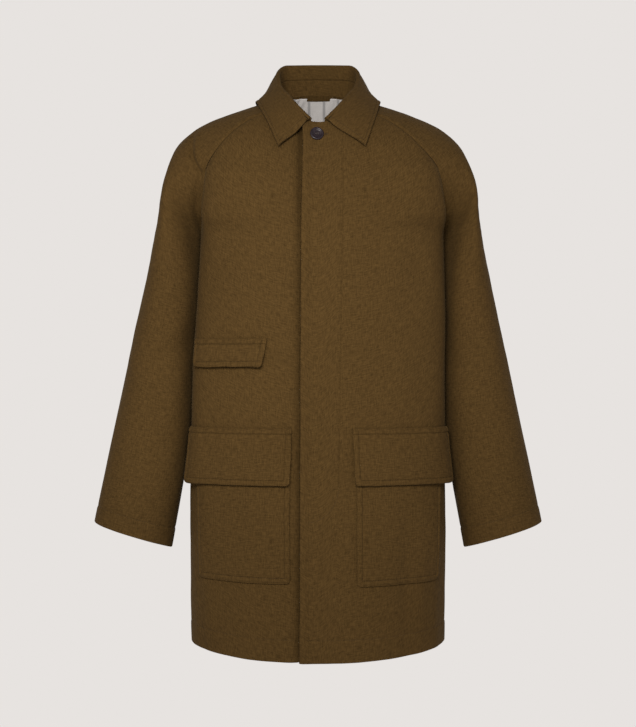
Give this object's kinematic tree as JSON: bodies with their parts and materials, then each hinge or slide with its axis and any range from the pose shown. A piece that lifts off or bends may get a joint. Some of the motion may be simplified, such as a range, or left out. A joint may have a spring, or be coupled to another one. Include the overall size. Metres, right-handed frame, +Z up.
{
  "type": "car coat",
  "caption": "Hollow worn-shape raglan car coat of heavy wool: point collar, concealed fly front buttoned at the neck, flapped patch pockets, ticket flap, open hem, cuffs and neck.",
  "frame": {"origin": "middle of the neck opening, level with the tops of the shoulders, where the wearer carries the coat", "axes": "+Z up the coat, -Y out of its front, +X towards the wearer's left"},
  "size_m": [0.7056, 0.3024, 0.9395],
  "materials": {
    "olive_wool": "matt brushed wool twill, olive brown",
    "pale_lining": "smooth pale lining with grey stripes",
    "dark_horn": "polished dark horn"
  },
  "bodies": {
    "root": {"front_left": "olive_wool", "front_right": "olive_wool", "back": "olive_wool", "sleeve_front_left": "olive_wool", "sleeve_front_right": "olive_wool", "sleeve_back_left": "olive_wool", "sleeve_back_right": "olive_wool", "collar_stand": "olive_wool", "collar_fall": "olive_wool", "pocket_left": "olive_wool", "pocket_right": "olive_wool", "flap_left": "olive_wool", "flap_right": "olive_wool", "flap_ticket": "olive_wool", "hanger_loop": "olive_wool", "lining": "pale_lining", "button": "dark_horn"}
  },
  "joints": []
}
